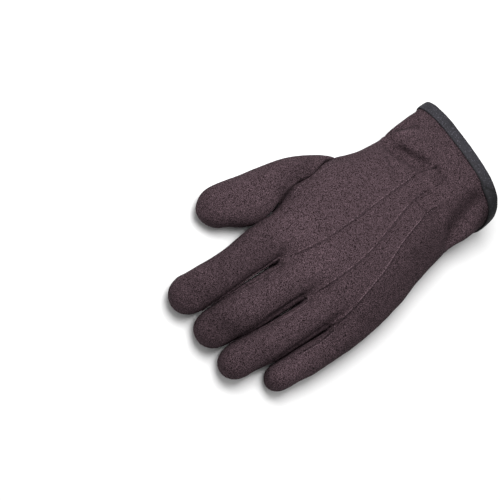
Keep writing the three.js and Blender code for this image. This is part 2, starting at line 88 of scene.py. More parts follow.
# Folds and creases: the shares of their length over which they come and go, and the share of
# their depth that is left at the last end. The upper side is where the normal rises this much.
FOLD_FADE, FOLD_END = 0.25, 0.3
CREASE_FADE, CREASE_END = 0.3, 0.1
UPPER = 0.25

# A dart: its ridge, the groove beside it and the shallow hollow on the other side, in mm, and the
# share of its length at the wrist that is a groove alone.
DART_WIDTH = 0.8
# Width of the painted highlight along the ridge, mm.
DART_HIGHLIGHT_WIDTH = 0.75
GROOVE_WIDTH, GROOVE_OFF = 0.75, 1.3
GROOVE_DEPTH, GROOVE_WRIST_DEPTH = 0.25, 0.55
# How much painted shade darkens the groove, along the dart and more at the wrist.
GROOVE_SHADE, GROOVE_WRIST_SHADE = 0.2, 0.65
HOLLOW_WIDTH, HOLLOW_OFF, HOLLOW_DEPTH = 0.8, 1.7, 0.15
WRIST_SHARE, WRIST_FADE = 0.12, 0.15
STITCH_PULL, STITCH_PULL_SIZE = 0.3, 1.6

# How a dart's ridge is found on the solid: bent this sharply, this straight along the hand, at
# least this high, looked at in such steps, and its next spot this far ahead and aside, in mm. That
# spot is the middle of so many ridge points, for which a mm aside counts as half a mm ahead.
RIDGE_ANGLE = math.radians(34)
RIDGE_ALONG, RIDGE_LOW, RIDGE_STEP = 0.7, 24.0, 0.5
NEXT_LEAST, NEXT_MOST, NEXT_ASIDE = 1.0, 6.0, 5.0
NEXT_COUNT, ASIDE_WEIGHT = 4, 0.5

# A stitch: its shortest and longest half length, as shares of the pitch, how far it sinks in and
# half its height, as shares of the thread's thickness. It is a little higher than the thread is
# thick, because it bows up.
STITCH_SHORT, STITCH_LONG = 0.26, 0.4
STITCH_SUNK, STITCH_RISE = 0.25, 0.6
ABOVE_ALL = 80.0                    # a height over the whole glove, mm

# The tape, in mm: how much wider than high the cuff is, its mean radius, and the number of parts
# in which the tape's upper edge is followed round it.
CUFF_FLATNESS, CUFF_RADIUS, RIM_PARTS = 2.2, 42, 48
TAPE_RIB, TAPE_THREAD, TAPE_GLINT, TAPE_BLOTCH = 1.5, 0.4, 0.8, 6
# The tape's dark edge is painted shade, where it sinks into the cloth.
TAPE_EDGE_SHADE_START, TAPE_EDGE_SHADE_END = -1.9, -0.9   # the dark edge, measured across from the upper edge

# The studio, in metres and watts.
FLOOR_REACH = 3.0
FLOOR_DROP = 0.0003                 # the floor lies this far under the glove
LAMP_PLACE = Vector((0.15, 0.0, 0.45))
LAMP_SIZE = 0.34
LAMP_POWER = 3.7
SKY_STRENGTH = 0.6

# The camera of the photograph: what it looks at, and its three directions.
AIM = Vector((0.02203, 0.0630, 0.025))
BACKWARD = Vector((0.0, 0.4695, 0.8829))
RIGHTWARD = Vector((-0.5299, -0.7488, 0.3981))
UPWARD = Vector((0.8480, -0.4679, 0.2488))
DISTANCE = 1.5
LENS = 161.2
SENSOR = 36.0


def table(names, rows):
    """Rows of a short table as dicts."""
    keys = names.split()
    return [dict(zip(keys, row)) for row in rows]


# Folds of the back, the cuff and the flanks. A fold is a line on the surface: how far the cloth
# goes in (mm, minus is a ridge), how wide it is on the fingers' side and on the cuff's side, how
# much of its depth it keeps at its first end.
FOLDS = table("name depth fingerward cuffward start line", [
    ("wrist valley", 4.6, 5.6, 3.4, 0.3,
     [(31.5, -75, 23), (23.8, -79.2, 27), (16.4, -82, 30), (10.6, -85, 31.5), (4.5, -88, 33.5)]),
    ("wrist swell", -1.4, 3.4, 5.0, 0.3,
     [(33.6, -88, 25), (28.7, -90.4, 29), (20.7, -93.6, 33), (11.5, -97, 35)]),
    ("thumbward tuck", -1.2, 2.6, 1.6, 0.8,
     [(38.8, -78.2, 18.7), (36.7, -84.5, 23.9), (33.3, -91.2, 26.9), (29.9, -97.3, 28.7)]),
    ("thumbward hollow", 3.4, 1.6, 3.6, 0.9,
     [(40.4, -81, 18), (39.6, -88.5, 20.8), (38, -96.5, 22.6), (35.5, -102, 24.5)]),
    ("thumb against the hand", -1.2, 3.4, 3.4, 0.5,
     [(41.1, 24.6, 22), (39.8, 30.4, 20), (38.6, 35.6, 18), (37.6, 40.6, 16), (36.6, 46, 14)]),
    ("second dent", 2.0, 3.8, 2.6, 0.3,
     [(25.9, -66.1, 30), (21, -63.8, 33), (14, -61.4, 35.5), (8.9, -57.9, 37)]),
    ("gather at the darts", 1.4, 2.6, 3.4, 0.3,
     [(5, -90, 35), (-5.8, -88.6, 37), (-11, -87.6, 38), (-19.7, -84.5, 38)]),
    ("outer cuff fold", 5.6, 6.5, 6.0, 0.3,
     [(-31, -110, 41), (-34, -103, 40), (-37, -96, 37), (-39, -89, 34), (-41, -82, 32)]),
    ("outer cuff fold, lower end", 3.2, 6.0, 6.0, 0.6,
     [(-41, -86, 32), (-46, -77, 28), (-49, -68, 24)]),
    ("flank below the darts", 1.6, 8.0, 8.0, 0.3,
     [(-29, -74, 36), (-33, -62, 34), (-38, -46, 32)]),
])

# Narrow creases of the outside, where stitching draws the cloth in: how deep (mm, minus is
# raised), how wide, how much painted shade darkens the cloth there (minus is a painted highlight).
CREASES = table("name depth width dim line", [
    ("gather, first to second dart", 0.7, 1.5, 0.3,
     [(2.5, -91.4), (-3, -89.6), (-8, -89.0), (-10, -87)]),
    ("gather, second to third dart", 0.6, 0.8, 0.4,
     [(-10.7, -60.8), (-16, -62), (-21.8, -63.3), (-25.7, -66.7)]),
    ("wrinkle in the thumb's root", 0.7, 1.4, 0.2, [(47, -26), (43, -33), (38, -39)]),
    ("middle finger, ring side", 0.3, 0.7, 0.7,
     [(-22.2, 45.5), (-21.9, 56), (-21.8, 66), (-21.4, 84)]),
    ("ring finger, middle side", -0.15, 0.8, -0.5,
     [(-25.6, 42.0), (-27.9, 45), (-28.6, 54), (-28.8, 62), (-27.9, 73)]),
    ("little finger, ring side", 0.4, 0.6, 0.55,
     [(-50.4, 36.4), (-53.8, 40.2), (-55.1, 51.7), (-54.9, 61.3), (-54.0, 78)]),
    ("middle finger, index side", -0.1, 0.7, -0.4, [(0.9, 53), (1.7, 62.5), (2.1, 76.5), (2.1, 88)]),
    ("kink of the tape", 0.4, 0.7, 0.7, [(-28.5, -112), (-33.1, -115.8), (-35, -118)]),
])

# Soft bands of painted shade on the upper side: how wide, how much darker the cloth is painted
# there (minus is a painted highlight).
PAINTED_SHADING_BANDS = table("name width dim line", [
    ("under the thumbward tuck", 2.0, 0.5,
     [(38.5, -80.9), (37.8, -88.5), (36.2, -96.5), (33.9, -101.9)]),
    ("on the thumbward tuck", 1.6, -0.3,
     [(38.8, -78.2), (36.7, -84.5), (33.3, -91.2), (29.9, -97.3)]),
    ("in the outer cuff fold", 4.4, 0.45,
     [(-29, -104), (-32.2, -95.9), (-32.9, -89.8), (-35, -84.3), (-38.4, -78.6)]),
    ("outer flank", 11.0, 0.25,
     [(-46, -62), (-46.8, -19.9), (-53.6, 2.6), (-60.5, 23.2), (-64, 38)]),
    ("beside the darts", 8.0, 0.2, [(-36, -72), (-37, -55), (-38, -40)]),
    ("thumb's root", 7.0, 0.35, [(49.5, -8), (49.1, -0.5), (48, 9.6), (45.5, 18)]),
    ("middle fingertip", 9.0, 0.5, [(-8, 110), (-16, 103)]),
    ("index finger", 10.0, 0.2, [(22, 52), (19, 92)]),
    ("index fingertip", 8.0, 0.3, [(20, 113), (8, 106)]),
    ("ring fingertip", 8.0, 0.12, [(-36, 106), (-42, 98)]),
    ("knuckles", 14.0, -0.13, [(14, 26), (-12, 27)]),
    ("little fingertip", 8.0, -0.14, [(-60, 88), (-62, 78)]),
    ("middle of the cuff", 12.0, 0.1, [(16, -107), (-16, -104)]),
    ("tape, outer end", 8.0, 0.8, [(-36, -116), (-44, -112), (-50, -105)]),
])

# The three stitched darts: how far they stand out, how much their ridge is lightened as a painted
# highlight, the share of their stitches that shows, and their ends at the wrist, before the solid's
# ridge.
DARTS = table("name height rubbed showing wrist", [
    ("index and middle", 0.2, 0.08, 0.3,
     [(2.4, -90.4, 36.4), (4.0, -86, 35), (5.0, -80, 34.5), (5.4, -74, 35)]),
    ("middle and ring", 0.3, 0.15, 0.4, [(-9, -85.5, 38), (-8.6, -80, 38), (-8.4, -74, 38)]),
    ("ring and little", 0.55, 0.35, 0.85, [(-20.5, -78, 38), (-21.5, -72, 38.5)]),
])

# Rows of stitches on the back besides the darts: how far apart the stitches are, and the share
# of them that shows above the nap.
SEAM_ROWS = table("name pitch showing line", [
    ("thumb seam", 2.0, 0.8,
     [(41.8, -27), (42.2, -20), (42.0, -12), (41.8, -3), (41.4, 5), (39.0, 12)]),
    ("ring finger", 2.0, 0.7,
     [(-25.6, 41.6), (-28.4, 44.8), (-29.2, 54), (-29.3, 62), (-28.4, 73)]),
    ("little finger", 2.0, 0.7,
     [(-50.8, 35.4), (-54.8, 39.6), (-56.1, 51.7), (-55.9, 61.3), (-55.2, 74)]),
    ("middle finger, index side", 2.0, 0.6, [(-0.6, 55), (0.0, 62.5), (0.4, 76.5), (0.4, 86)]),
])


class GloveSizes(bpy.types.PropertyGroup):
    """Sizes of the sewing and of the folds."""

    fold_share: FloatProperty(
        name="Folds", description="How deep the wrist and cuff folds are",
        default=1.0, min=0.0, max=1.5, subtype="FACTOR")
    seam_depth: FloatProperty(
        name="Seam depth", description="How far the cloth rolls in at a seam",
        default=0.75 * MM, unit="LENGTH", precision=5)
    seam_width: FloatProperty(
        name="Seam width", description="Half the width of the roll along a seam",
        default=1.3 * MM, unit="LENGTH", precision=5)
    dart_share: FloatProperty(
        name="Darts", description="How far the stitched darts on the back stand out",
        default=1.0, min=0.0, max=2.0, subtype="FACTOR")
    nap_height: FloatProperty(
        name="Nap", description="Height of the brushed surface",
        default=0.07 * MM, unit="LENGTH", precision=5)
    stitch_pitch: FloatProperty(
        name="Stitch", description="From one stitch to the next",
        default=2.3 * MM, unit="LENGTH", precision=5)
    thread: FloatProperty(
        name="Thread", description="Thickness of the sewing thread",
        default=0.42 * MM, unit="LENGTH", precision=5)


def linear(code):
    """An sRGB hex colour as linear red, green and blue."""
    values = [int(code[k:k + 2], 16) / 255 for k in (1, 3, 5)]
    return [v / 12.92 if v <= 0.04045 else ((v + 0.055) / 1.055) ** 2.4 for v in values]


class GloveColours(bpy.types.PropertyGroup):
    """Colours of the cloth, the tape and the thread."""

    cloth_light: FloatVectorProperty(
        name="Cloth, raised fibre", description="Brown of the brushed surface",
        size=3, subtype="COLOR", default=linear("#5b4b51"))
    cloth_dark: FloatVectorProperty(
        name="Cloth, between fibres", description="Brown down in the knit",
        size=3, subtype="COLOR", default=linear("#0a0606"))
    lining: FloatVectorProperty(
        name="Inside", description="Brown of the fleece inside",
        size=3, subtype="COLOR", default=linear("#3f3437"))
    tape: FloatVectorProperty(
        name="Tape", description="Charcoal of the binding tape",
        size=3, subtype="COLOR", default=linear("#1d1c20"))
    thread: FloatVectorProperty(
        name="Thread", description="Brown of the sewing thread",
        size=3, subtype="COLOR", default=linear("#6a585f"))


def add_node(tree, kind, settings=None, links=None):
    """Adds a node, sets its fields and sockets, and links what feeds it."""
    made = tree.nodes.new(kind)
    for key, value in (settings or {}).items():
        if isinstance(key, str) and hasattr(made, key):
            setattr(made, key, value)
        else:
            made.inputs[key].default_value = value
    for key, source in (links or {}).items():
        tree.links.new(source, made.inputs[key])
    return made


def paint(colour, times=1.0):
    """A colour made that many times as bright, for a colour socket."""
    return (*[value * times for value in colour], 1)


def new_material(name):
    """An empty node material and its tree."""
    material = bpy.data.materials.new(name)
    material.use_nodes = True
    material.node_tree.nodes.clear()
    return material, material.node_tree


def wave_scale(pitch_mm):
    """The Wave texture's scale for bands that far apart."""
    return 2 * math.pi / (20 * pitch_mm * MM)


def brushed_jersey(name, light, dark, speck_mm=0.3, nap_mm=0.12, tuft=4.5, turn=0.0):
    """Brushed cotton jersey: the raised nap breaks the colour of the knit into fine light and dark
    specks, a little longer along the knit and gathered in faint tufts so many specks wide. So the
    cloth looks dry and dull, with no glossy highlight. Painted light and shade, stored on the
    points, darken and lighten it."""
    material, tree = new_material(name)
    place = add_node(tree, "ShaderNodeTexCoord")
    along = add_node(
        tree, "ShaderNodeMapping",
        {"Rotation": (0, 0, turn), "Scale": (1, 0.6, 1)}, {"Vector": place.outputs["Object"]})
    speck = add_node(
        tree, "ShaderNodeTexNoise",
        {"Scale": 1 / (speck_mm * MM), "Detail": 1.0, "Roughness": 0.5},
        {"Vector": along.outputs["Vector"]})
    fluff = add_node(
        tree, "ShaderNodeTexNoise",
        {"Scale": 1 / (tuft * speck_mm * MM), "Detail": 1.0, "Roughness": 0.5},
        {"Vector": place.outputs["Object"]})
    grain = add_node(
        tree, "ShaderNodeMath", {"operation": "MULTIPLY_ADD", 1: 0.1},
        {0: fluff.outputs["Fac"], 2: speck.outputs["Fac"]})
    share = add_node(
        tree, "ShaderNodeMapRange", {"From Min": 0.495, "From Max": 0.69},
        {"Value": grain.outputs["Value"]})
    colour = add_node(
        tree, "ShaderNodeMix", {"data_type": "RGBA", 6: paint(dark), 7: paint(light)},
        {0: share.outputs["Result"]})
    # Painted light and shade stored on the points: darker in creases, grooves, hollows and along the
    # tape, lighter on raised edges.
    painted_shading = add_node(tree, "ShaderNodeAttribute", {"attribute_name": "painted_shading"})
    toned = add_node(
        tree, "ShaderNodeHueSaturation", {"Saturation": 1.05},
        {"Value": painted_shading.outputs["Fac"], "Color": colour.outputs[2]})
    bump = add_node(
        tree, "ShaderNodeBump", {"Strength": 0.6, "Distance": nap_mm * MM},
        {"Height": grain.outputs["Value"]})
    shader = add_node(
        tree, "ShaderNodeBsdfPrincipled",
        {"Roughness": 0.95, "Specular IOR Level": 0.05},
        {"Base Color": toned.outputs["Color"], "Normal": bump.outputs["Normal"]})
    add_node(tree, "ShaderNodeOutputMaterial", {}, {"Surface": shader.outputs["BSDF"]})
    return material


def woven_tape(name, colour):
    """Polyester binding tape: fine slanting threads over faint lengthways ribs, denser and
    smoother than the cloth, so single threads catch the light where it turns over the hem. Its
    edge sinks into the cloth and is painted nearly black there as shade."""
    material, tree = new_material(name)
    run = add_node(tree, "ShaderNodeUVMap", {"uv_map": "tape"})
    place = add_node(tree, "ShaderNodeTexCoord")
    ribs = add_node(
        tree, "ShaderNodeTexWave",
        {"wave_type": "BANDS", "bands_direction": "Y", "Scale": wave_scale(TAPE_RIB),
         "Distortion": 2.5, "Detail": 2.0, "Detail Scale": 3.0},
        {"Vector": run.outputs["UV"]})
    slanting = add_node(
        tree, "ShaderNodeMapping", {"Rotation": (0, 0, 0.8), "Scale": (1, 0.5, 1)},
        {"Vector": place.outputs["Object"]})
    threads = add_node(
        tree, "ShaderNodeTexNoise", {"Scale": 1 / (TAPE_THREAD * MM), "Detail": 2.0},
        {"Vector": slanting.outputs["Vector"]})
    blotch = add_node(
        tree, "ShaderNodeTexNoise", {"Scale": 1 / (TAPE_BLOTCH * MM), "Detail": 2.0},
        {"Vector": place.outputs["Object"]})
    glint = add_node(
        tree, "ShaderNodeTexNoise", {"Scale": 1 / (TAPE_GLINT * MM), "Detail": 1.0},
        {"Vector": slanting.outputs["Vector"]})
    woven = add_node(
        tree, "ShaderNodeMath", {"operation": "MULTIPLY_ADD", 1: 0.12},
        {0: ribs.outputs["Fac"], 2: threads.outputs["Fac"]})
    height = add_node(
        tree, "ShaderNodeMath", {"operation": "MULTIPLY_ADD", 1: 0.6},
        {0: blotch.outputs["Fac"], 2: woven.outputs["Value"]})
    share = add_node(
        tree, "ShaderNodeMapRange", {"From Min": 0.45, "From Max": 1.25},
        {"Value": height.outputs["Value"]})
    shade = add_node(
        tree, "ShaderNodeMix",
        {"data_type": "RGBA", 6: paint(colour, 0.3), 7: paint(colour, 2.4)},
        {0: share.outputs["Result"]})
    bright = add_node(
        tree, "ShaderNodeMapRange", {"From Min": 0.6, "From Max": 0.7, "To Max": 0.55},
        {"Value": glint.outputs["Fac"]})
    caught = add_node(
        tree, "ShaderNodeMix", {"data_type": "RGBA", 7: paint(colour, 7)},
        {0: bright.outputs["Result"], 6: shade.outputs[2]})
    across = add_node(tree, "ShaderNodeSeparateXYZ", {}, {"Vector": run.outputs["UV"]})
    # Painted shade: the tape darkens towards its upper edge, where it sinks into the cloth.
    rim = add_node(
        tree, "ShaderNodeMapRange",
        {"From Min": TAPE_EDGE_SHADE_START * MM, "From Max": TAPE_EDGE_SHADE_END * MM,
         "To Min": 1.0, "To Max": 0.4},
        {"Value": across.outputs["Y"]})
    # Painted light and shade stored on the tape's points darken it further.
    painted_shading = add_node(tree, "ShaderNodeAttribute", {"attribute_name": "painted_shading"})
    value = add_node(
        tree, "ShaderNodeMath", {"operation": "MULTIPLY"},
        {0: rim.outputs["Result"], 1: painted_shading.outputs["Fac"]})
    toned = add_node(
        tree, "ShaderNodeHueSaturation", {},
        {"Value": value.outputs["Value"], "Color": caught.outputs[2]})
    bump = add_node(
        tree, "ShaderNodeBump", {"Strength": 0.7, "Distance": 0.2 * MM},
        {"Height": woven.outputs["Value"]})
    shader = add_node(
        tree, "ShaderNodeBsdfPrincipled", {"Roughness": 0.7, "Specular IOR Level": 0.18},
        {"Base Color": toned.outputs["Color"], "Normal": bump.outputs["Normal"]})
    add_node(tree, "ShaderNodeOutputMaterial", {}, {"Surface": shader.outputs["BSDF"]})
    return material


def spun_thread(name, colour, ply_mm=0.3):
    """Spun sewing thread: matt, with its plies as a fine light and dark grain."""
    material, tree = new_material(name)
    place = add_node(tree, "ShaderNodeTexCoord")
    plies = add_node(
        tree, "ShaderNodeTexNoise", {"Scale": 1 / (ply_mm * MM), "Detail": 2.0},
        {"Vector": place.outputs["Object"]})
    shade = add_node(
        tree, "ShaderNodeMix",
        {"data_type": "RGBA", 6: paint(colour, 0.7), 7: paint(colour, 1.3)},
        {0: plies.outputs["Fac"]})
    shader = add_node(
        tree, "ShaderNodeBsdfPrincipled", {"Roughness": 0.85, "Specular IOR Level": 0.25},
        {"Base Color": shade.outputs[2]})
    add_node(tree, "ShaderNodeOutputMaterial", {}, {"Surface": shader.outputs["BSDF"]})
    return material


def flood(start):
    """The faces on the same side of a piece as one face."""
    found, waiting = {start}, [start]
    while waiting:
        for edge in waiting.pop().edges:
            if edge.calc_face_angle(0.0) < SIDE_ANGLE:
                for face in edge.link_faces:
                    if face not in found:
                        found.add(face)
                        waiting.append(face)
    return found


def welded_cage(node):
    """A CAD node's mesh, welded."""
    bm = bmesh.new()
    bm.from_mesh(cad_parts[node].data)
    bmesh.ops.remove_doubles(bm, verts=bm.verts, dist=WELD * MM)
    bm.normal_update()
    return bm


def join_quads(bm):
    """Turns the triangles of a cage to quads, without joining across two slots."""
    bmesh.ops.join_triangles(
        bm, faces=bm.faces, cmp_materials=True,
        angle_face_threshold=QUAD_ANGLE, angle_shape_threshold=QUAD_ANGLE)


def cloth_cage(node, turned_in):
    """The cage of a piece of cloth, with its outside, inside and cut edge in their own material
    slots and sharply creased between them. The outside points away from the piece's middle, or
    towards it for a strip that is folded round a gap."""
    bm = welded_cage(node)
    groups, left = [], set(bm.faces)
    while left:
        groups.append(flood(next(iter(left))))
        left -= groups[-1]
    groups.sort(key=lambda group: sum(face.calc_area() for face in group))
    middle = sum((vert.co for vert in bm.verts), Vector()) / len(bm.verts)

    def away(group):
        return sum(
            face.normal.dot(face.calc_center_median() - middle) * face.calc_area() for face in group)

    inside, outside = sorted(groups[-2:], key=away, reverse=turned_in)
    for face in bm.faces:
        face.material_index = OUTSIDE if face in outside else INSIDE if face in inside else CUT
    join_quads(bm)
    crease = bm.edges.layers.float.new("crease_edge")
    for edge in bm.edges:
        if len({face.material_index for face in edge.link_faces}) > 1:
            edge[crease] = 1.0
    return bm


def placed(name, data):
    """A new object in the scene."""
    made = bpy.data.objects.new(name, data)
    bpy.context.scene.collection.objects.link(made)
    return made


def coordinates(mesh):
    """A mesh's points as rows, in mm."""
    flat = np.empty(len(mesh.vertices) * 3)
    mesh.vertices.foreach_get("co", flat)
    return flat.reshape(-1, 3) / MM


def move_points(mesh, points):
    """Puts a mesh's points at those rows, in mm."""
    mesh.vertices.foreach_set("co", (points * MM).ravel())
    mesh.update()


def settled(cage):
    """An object as its modifiers make it now."""
    bpy.context.view_layer.update()
    return cage.evaluated_get(bpy.context.evaluated_depsgraph_get())


def rounded(bm, name):
    """The cage after Subdivision Surface, still passing through its own points: each is pulled out
    a few times by what the rounding takes off it."""
    mesh = bpy.data.meshes.new(name)
    bm.to_mesh(mesh)
    bm.free()
    cage = placed(name, mesh)
    smoother = cage.modifiers.new("rounding", "SUBSURF")
    smoother.levels = smoother.render_levels = ROUNDING
    smoother.boundary_smooth = "ALL"
    aim = coordinates(mesh)
    moved = aim.copy()
    move_points(mesh, moved)
    for _ in range(PULLS):
        moved += (aim - coordinates(settled(cage).data)[:len(aim)]) * PULL_SHARE
        move_points(mesh, moved)
    made = bpy.data.meshes.new_from_object(settled(cage))
    bpy.data.objects.remove(cage)
    bpy.data.meshes.remove(mesh)
    made.name = name
    return made


def refined(mesh):
    """The mesh with its outside cut once more, fine enough to carry the nap and the seams."""
    bm = bmesh.new()
    bm.from_mesh(mesh)
    edges = [e for e in bm.edges if any(f.material_index == OUTSIDE for f in e.link_faces)]
    bmesh.ops.subdivide_edges(bm, edges=edges, cuts=1, use_grid_fill=True)
    bm.to_mesh(mesh)
    bm.free()
    return mesh


def corners_of(mesh):
    """The point at each corner of the faces, and how many corners each face has."""
    corners = np.empty(len(mesh.loops), int)
    mesh.loops.foreach_get("vertex_index", corners)
    counts = np.empty(len(mesh.polygons), int)
    mesh.polygons.foreach_get("loop_total", counts)
    return corners, counts


def unit(rows):
    """Each row as a direction of length 1, or nothing where it has none."""
    return rows / np.maximum(np.linalg.norm(rows, axis=1, keepdims=True), TINY)


def side_of(mesh, slot):
    """Which points one side of the cloth uses, and that side's own normal at each."""
    corners, counts = corners_of(mesh)
    slots = np.empty(len(mesh.polygons), int)
    mesh.polygons.foreach_get("material_index", slots)
    normals = np.empty(len(mesh.polygons) * 3)
    mesh.polygons.foreach_get("normal", normals)
    of_corner = np.repeat(np.arange(len(mesh.polygons)), counts)
    chosen = slots[of_corner] == slot
    total = np.zeros((len(mesh.vertices), 3))
    np.add.at(total, corners[chosen], normals.reshape(-1, 3)[of_corner[chosen]])
    used = np.zeros(len(mesh.vertices), bool)
    used[corners[chosen]] = True
    return used, unit(total)


def tree_of(points):
    """Points that can be asked for the nearest."""
    tree = KDTree(len(points))
    for k, point in enumerate(points):
        tree.insert(point, k)
    tree.balance()
    return tree


def nearest(tree, points):
    """The nearest stored point's number and distance, for each point."""
    found = [tree.find(point) for point in points]
    return np.array([f[1] for f in found]), np.array([f[2] for f in found])


def smooth(values):
    """0 below 0, 1 above 1, and an even rise between."""
    held = np.clip(values, 0, 1)
    return held * held * (3 - 2 * held)


def bell(distance, width):
    """1 at no distance, falling evenly to about a third at that width."""
    return np.exp(-((distance / width) ** 2))


def rolling(points, size, seed):
    """Soft noise from -1 to 1 with bumps of that size in mm."""
    shift = Vector((seed * 17.3, seed * 5.1, seed * 9.7))
    return np.array([noise.noise(Vector(p) / size + shift) for p in points])


def along_line(points, line):
    """For each point: its offset from the nearest spot of a broken line, the distance, and the
    share of the line's length passed there."""
    corners = np.array(line, float)
    lengths = np.linalg.norm(np.diff(corners, axis=0), axis=1)
    best = np.full(len(points), 1e9)
    offset, share = np.zeros(points.shape), np.zeros(len(points))
    start = 0.0
    for a, b, length in zip(corners[:-1], corners[1:], lengths):
        way = (b - a) / length
        s = np.clip((points - a) @ way, 0, length)
        away = points - a - s[:, None] * way
        distance = np.linalg.norm(away, axis=1)
        closer = distance < best
        best = np.where(closer, distance, best)
        offset[closer] = away[closer]
        share = np.where(closer, (start + s) / lengths.sum(), share)
        start += length
    return offset, best, share


def fold_depth(points):
    """How far out the cloth stands at each point because of the folds, in mm."""
    strength = bpy.context.scene.glove_sizes.fold_share
    out = np.zeros(len(points))
    for fold in FOLDS:
        offset, distance, share = along_line(points, fold["line"])
        width = np.where(offset[:, 1] > 0, fold["fingerward"], fold["cuffward"])
        rise = fold["start"] + (1 - fold["start"]) * smooth(share / FOLD_FADE)
        fade = rise * (FOLD_END + (1 - FOLD_END) * smooth((1 - share) / FOLD_FADE))
        out -= fold["depth"] * strength * fade * bell(distance, width)
    return out


def crease_depth(points, normals):
    """How far out the upper side stands because of narrow creases, and how much painted shade
    darkens it there and in the soft bands, a painted highlight where that is less than nothing.
    Creases and bands are found from above."""
    out, dim = np.zeros(len(points)), np.zeros(len(points))
    for crease in CREASES:
        _, distance, share = along_line(points[:, :2], crease["line"])
        fade = smooth((1 - share) / CREASE_FADE) * (1 - CREASE_END) + CREASE_END
        fade *= bell(distance, crease["width"])
        out -= crease["depth"] * fade
        dim += crease["dim"] * fade
    for band in PAINTED_SHADING_BANDS:
        distance = along_line(points[:, :2], band["line"])[1]
        dim += band["dim"] * bell(distance, band["width"])
    upper = smooth(normals[:, 2] / UPPER)
    return out * upper, dim * upper


def ridge_points(bm):
    """Points along the stitched darts: where the back is bent sharply outwards, lengthways."""
    found = []
    for edge in bm.edges:
        if any(face.material_index != OUTSIDE for face in edge.link_faces):
            continue
        a, b = (vert.co / MM for vert in edge.verts)
        lengthways = abs((b - a).normalized().y) > RIDGE_ALONG
        if edge.calc_face_angle_signed(0.0) > RIDGE_ANGLE and lengthways and a.z > RIDGE_LOW:
            steps = max(2, int((b - a).length / RIDGE_STEP))
            found += [a.lerp(b, k / steps) for k in range(steps + 1)]
    return np.array(found)


def dart_lines(ridges):
    """Each dart's line from its wrist end up along its ridge. The next spot is always the middle
    of the few ridge points that are the least ahead and aside."""
    lines = []
    for dart in DARTS:
        line = [np.array(point, float) for point in dart["wrist"]]
        while True:
            x, y = line[-1][:2]
            aside = np.abs(ridges[:, 0] - x)
            ahead = (ridges[:, 1] > y + NEXT_LEAST) & (ridges[:, 1] < y + NEXT_MOST)
            ahead &= aside < NEXT_ASIDE
            if not ahead.any():
                break
            near = np.argsort(ridges[ahead, 1] + ASIDE_WEIGHT * aside[ahead])[:NEXT_COUNT]
            line.append(ridges[ahead][near].mean(axis=0))
        lines.append(np.array(line))
    return lines


def dart_relief(points, darts):
    """How far out the back stands at its darts, and the painted shade in its groove and painted
    highlight on its ridge. A dart is a ridge pulled in by its stitches, with a groove beside it,
    and at the wrist a groove alone."""
    share_up = bpy.context.scene.glove_sizes.dart_share
    out, dim = np.zeros(len(points)), np.zeros(len(points))
    for dart, line in zip(DARTS, darts):
        offset, off, share = along_line(points, line)
        across = off * np.sign(offset[:, 0])
        wrist = 1 - smooth((share - WRIST_SHARE) / WRIST_FADE)
        pull = 1 - STITCH_PULL + STITCH_PULL * rolling(points, STITCH_PULL_SIZE, 5)
        groove = bell(across + GROOVE_OFF * (1 - wrist), GROOVE_WIDTH)
        out += (1 - wrist) * share_up * dart["height"] * pull * bell(off, DART_WIDTH)
        out -= (GROOVE_DEPTH + GROOVE_WRIST_DEPTH * wrist) * groove
        out -= HOLLOW_DEPTH * (1 - wrist) * bell(across - HOLLOW_OFF, HOLLOW_WIDTH)
        # Painted shade in the groove, and a painted highlight along the ridge.
        dim += (GROOVE_SHADE + GROOVE_WRIST_SHADE * wrist) * groove
        dim -= (1 - wrist) * dart["rubbed"] * pull * bell(off, DART_HIGHLIGHT_WIDTH)
    return out, dim


def seam_relief(points, from_seam, puff, swell, rough):
    """How far out the cloth stands because of its seams and its nap: rolled in at a seam, puckered
    beside it, puffed up between two, and brushed all over."""
    sizes = bpy.context.scene.glove_sizes
    tip = smooth((points[:, 1] - TIP_START - TIP_SLANT * points[:, 0]) / TIP_REACH)
    rolled_in = bell(from_seam, sizes.seam_width / MM) * (1 - TIP_FADE * tip)
    pucker = np.exp(-from_seam / PUCKER_REACH) * rolling(points, PUCKER_SIZE, 3)
    out = puff * (1 - bell(from_seam, swell)) - sizes.seam_depth / MM * rolled_in
    out += rough * PUCKER_HEIGHT * pucker
    return out + rough * sizes.nap_height / MM * rolling(points, NAP_SIZE, 4)


def soft_roll(points):
    """The slight rise and fall of limp cloth, in mm: a wide wave and a narrower one."""
    return 0.35 * rolling(points, 16, 1) + 0.2 * rolling(points, 7, 2)


def tape_distance(points):
    """How far each point is from the tape, in mm."""
    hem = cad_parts["cuff_binding"].data
    tape = BVHTree.FromPolygons([v.co for v in hem.vertices], [f.vertices for f in hem.polygons])
    return np.array([tape.find_nearest(Vector(point) * MM)[3] for point in points]) / MM


def carried(points, shift, loose, outer, inner):
    """How far the cut edge moves: as both sides of the cloth do, the nearer one more."""
    to_out, far_out = nearest(tree_of(points[outer]), points[loose])
    to_in, far_in = nearest(tree_of(points[inner]), points[loose])
    part = (far_out / np.maximum(far_out + far_in, TINY))[:, None]
    return shift[outer][to_out] * (1 - part) + shift[inner][to_in] * part


